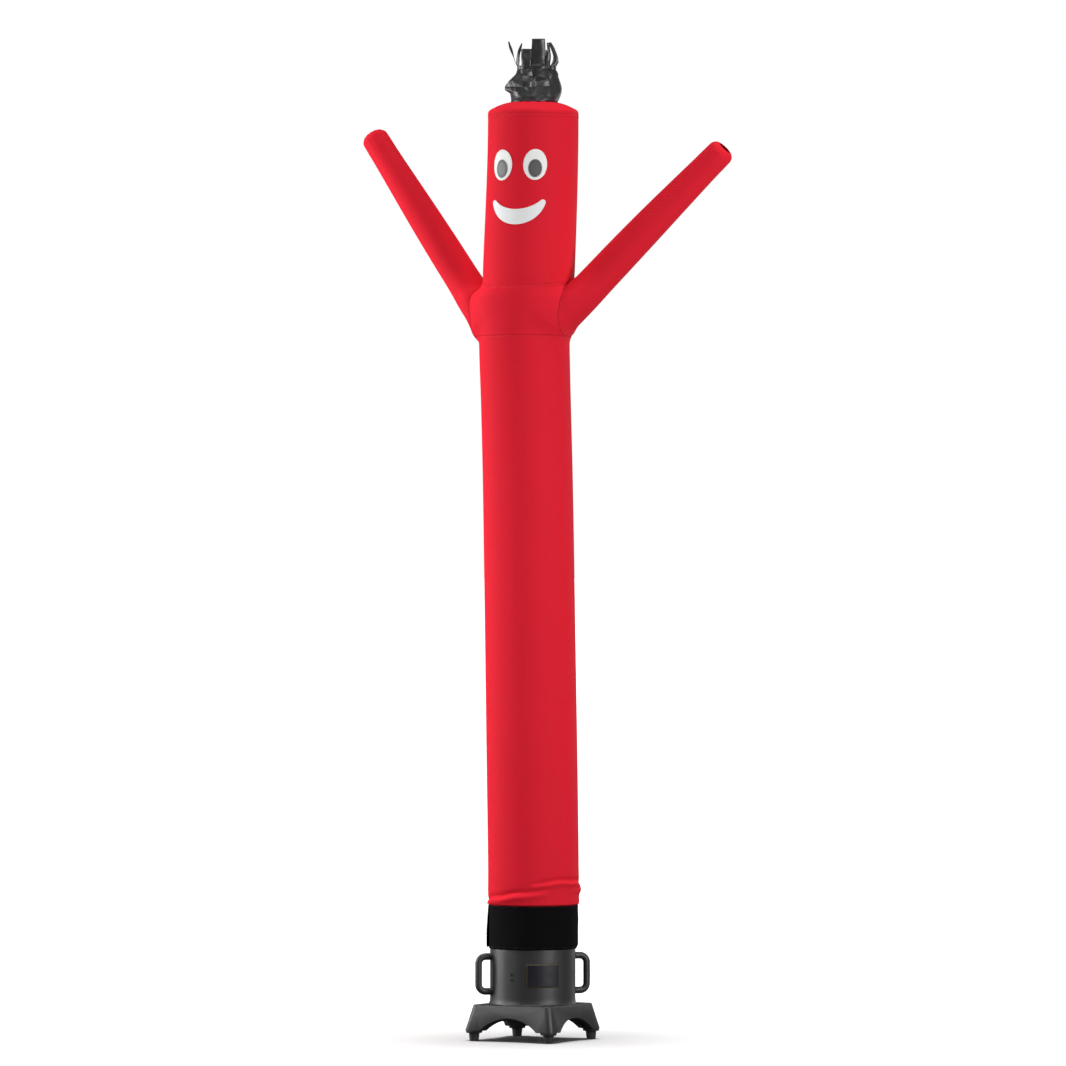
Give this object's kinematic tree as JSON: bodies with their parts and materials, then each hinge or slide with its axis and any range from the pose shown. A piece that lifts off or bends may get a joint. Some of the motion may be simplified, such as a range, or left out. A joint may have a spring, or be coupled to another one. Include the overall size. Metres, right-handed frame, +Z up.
{
  "type": "inflatable air dancer on blower",
  "caption": "Tall inflated nylon tube figure with raised arms, a smiling face and a tuft of hair, strapped by a collar to an upright duct blower with a square footed base.",
  "frame": {"origin": "on the ground, below the middle of the part's box", "axes": "+Z up, -Y the way the face looks, +X towards the arm on the viewer's right"},
  "size_m": [1.4417, 0.435, 3.5542],
  "materials": {
    "red_nylon": "soft sheen",
    "black_nylon": "soft sheen",
    "collar_fabric": "matte",
    "white_cloth": "matte",
    "grey_cloth": "matte",
    "shell_plastic": "fine texture",
    "foot_rubber": "matte",
    "label_film": "satin",
    "screw_steel": "blackened"
  },
  "bodies": {
    "root": {"body_tube": "red_nylon", "shoulder_yoke": "red_nylon", "head_tube": "red_nylon", "head_top": "red_nylon", "arm_right": "red_nylon", "arm_left": "red_nylon", "hair_cuff": "black_nylon", "hair_strips": "black_nylon", "collar_band": "collar_fabric", "eye_left": "white_cloth", "eye_right": "white_cloth", "smile": "white_cloth", "pupil_left": "grey_cloth", "pupil_right": "grey_cloth", "blower_housing": "shell_plastic", "blower_base": "shell_plastic", "handle_right": "shell_plastic", "handle_left": "shell_plastic", "foot_front": "foot_rubber", "foot_right": "foot_rubber", "foot_back": "foot_rubber", "foot_left": "foot_rubber", "cable_gland": "foot_rubber", "label_plate": "label_film", "screw_upper": "screw_steel", "screw_lower": "screw_steel"}
  },
  "joints": []
}
